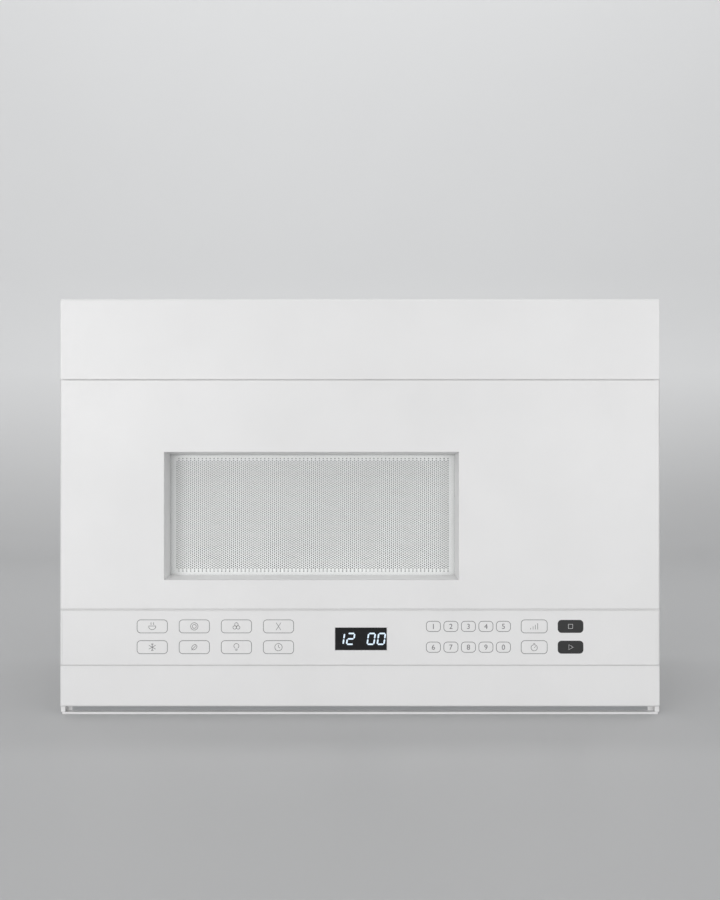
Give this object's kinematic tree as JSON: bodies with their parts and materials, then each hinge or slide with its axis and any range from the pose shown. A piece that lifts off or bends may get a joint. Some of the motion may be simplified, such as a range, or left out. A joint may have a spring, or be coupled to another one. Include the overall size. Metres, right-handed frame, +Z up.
{
  "type": "over the range microwave",
  "caption": "Box shaped over the range microwave with a full width side hinged door, deep window recess, control strip, louvred top panel, turntable and grease filters.",
  "frame": {"origin": "centre of the base's outline, on the surface it rests on", "axes": "+Z up, +Y from the door to the wall, +X to the user's right when facing the door"},
  "size_m": [0.6066, 0.386, 0.4195],
  "materials": {
    "white_moulding": "satin white moulding",
    "white_paint": "satin white baked paint",
    "oven_enamel": "light grey speckled enamel",
    "galvanised_steel": "zinc coated, faint spangle",
    "bright_steel": "plated",
    "core_steel": "varnished laminations",
    "aluminium": "mill finish",
    "copper_wire": "enamelled copper wire",
    "ferrite": "matt ferrite",
    "mica": "satin sheet",
    "clear_glass": "clear",
    "clear_film": "clear plastic sheet",
    "screen_white": "white coated steel with fine holes",
    "overlay_film": "satin printed film",
    "smoked_lens": "glossy smoked lens",
    "circuit_board": "green laminate",
    "grey_plastic": "matt",
    "black_plastic": "matt",
    "white_plastic": "matt",
    "rubber": "matt",
    "lamp_lens": "frosted",
    "charcoal": "granular"
  },
  "bodies": {
    "cabinet": {"outer_cover": "white_paint", "back_panel": "galvanised_steel", "base_plate": "white_paint", "front_frame": "white_paint", "component_shelf": "galvanised_steel", "top_vent_panel": "white_moulding", "lower_front_panel": "white_moulding", "top_blank_plate": "galvanised_steel", "top_mount_bracket": "galvanised_steel", "cord_bushing": "rubber", "case_screws": "bright_steel", "control_panel": "white_moulding", "control_overlay": "overlay_film", "display_window": "smoked_lens", "display_module": "black_plastic", "touch_board": "circuit_board", "control_board": "circuit_board", "noise_filter_board": "circuit_board", "upper_hinge": "bright_steel", "lower_hinge": "bright_steel", "interlock_bracket": "white_plastic", "micro_switches": "black_plastic", "oven_cavity": "oven_enamel", "cavity_lamp": "white_plastic", "waveguide": "galvanised_steel", "waveguide_cover": "mica", "magnetron_yoke": "galvanised_steel", "magnetron_magnets": "ferrite", "magnetron_anode": "aluminium", "magnetron_filter_box": "galvanised_steel", "transformer_core": "core_steel", "transformer_windings": "copper_wire", "hv_capacitor": "aluminium", "capacitor_bracket": "galvanised_steel", "turntable_motor": "galvanised_steel", "fan_shroud": "black_plastic", "fan_motor": "core_steel", "blower_housing": "galvanised_steel", "blower_motor": "bright_steel", "charcoal_filter": "charcoal", "lamp_lenses": "lamp_lens", "lamp_modules": "white_plastic"},
    "door": {"door_outer_frame": "white_moulding", "door_window_pane": "clear_glass", "door_screen": "screen_white", "door_choke_frame": "bright_steel", "door_inner_cover": "grey_plastic", "door_inner_pane": "clear_film", "latch_spring": "bright_steel"},
    "latch": {"latch_hooks": "white_plastic"},
    "turntable": {"glass_tray": "clear_glass", "turntable_coupler": "white_plastic"},
    "ring": {"roller_ring": "white_plastic"},
    "roller_one": {"roller_1": "white_plastic"},
    "roller_two": {"roller_2": "white_plastic"},
    "roller_three": {"roller_3": "white_plastic"},
    "cooling_fan": {"fan_blade": "black_plastic"},
    "blower_rotor": {"blower_wheels": "grey_plastic"},
    "left_filter": {"grease_filter_left": "aluminium"},
    "right_filter": {"grease_filter_right": "aluminium"}
  },
  "joints": [
    {"name": "door_swing", "type": "hinge", "parent": "cabinet", "child": "door", "pos_m": [-0.297, -0.163, 0.222], "axis": [0, 0, -1], "range_deg": [0, 100]},
    {"name": "latch_lift", "type": "slide", "parent": "door", "child": "latch", "axis": [0, 0, 1], "range_m": [0, 0.004], "stiffness_N_per_m": 150, "springref_m": -0.008, "deforming": ["latch_spring"]},
    {"name": "turntable_spin", "type": "hinge", "parent": "cabinet", "child": "turntable", "pos_m": [-0.049, 0.013, 0.13], "axis": [0, 0, 1], "continuous": true},
    {"name": "ring_spin", "type": "hinge", "parent": "cabinet", "child": "ring", "pos_m": [-0.049, 0.013, 0.13], "axis": [0, 0, 1], "continuous": true},
    {"name": "roller_one_spin", "type": "hinge", "parent": "ring", "child": "roller_one", "pos_m": [-0.049, 0.118, 0.1303], "axis": [0, 1, 0], "continuous": true},
    {"name": "roller_two_spin", "type": "hinge", "parent": "ring", "child": "roller_two", "pos_m": [-0.13993, -0.0395, 0.1303], "axis": [-0.866, -0.5, 0], "continuous": true},
    {"name": "roller_three_spin", "type": "hinge", "parent": "ring", "child": "roller_three", "pos_m": [0.04193, -0.0395, 0.1303], "axis": [0.866, -0.5, 0], "continuous": true},
    {"name": "cooling_fan_spin", "type": "hinge", "parent": "cabinet", "child": "cooling_fan", "pos_m": [0.22812, 0.16, 0.28], "axis": [0, 1, 0], "continuous": true},
    {"name": "blower_spin", "type": "hinge", "parent": "cabinet", "child": "blower_rotor", "pos_m": [-0.049, 0.126, 0.36625], "axis": [1, 0, 0], "continuous": true},
    {"name": "left_filter_slide", "type": "slide", "parent": "cabinet", "child": "left_filter", "axis": [0, 1, 0], "range_m": [0, 0.008]},
    {"name": "right_filter_slide", "type": "slide", "parent": "cabinet", "child": "right_filter", "axis": [0, 1, 0], "range_m": [0, 0.008]}
  ],
  "couplings": [
    {"joint": "ring_spin", "follows": "turntable_spin", "ratio": 0.5},
    {"joint": "roller_one_spin", "follows": "turntable_spin", "ratio": -6.5625},
    {"joint": "roller_two_spin", "follows": "turntable_spin", "ratio": -6.5625},
    {"joint": "roller_three_spin", "follows": "turntable_spin", "ratio": -6.5625}
  ]
}
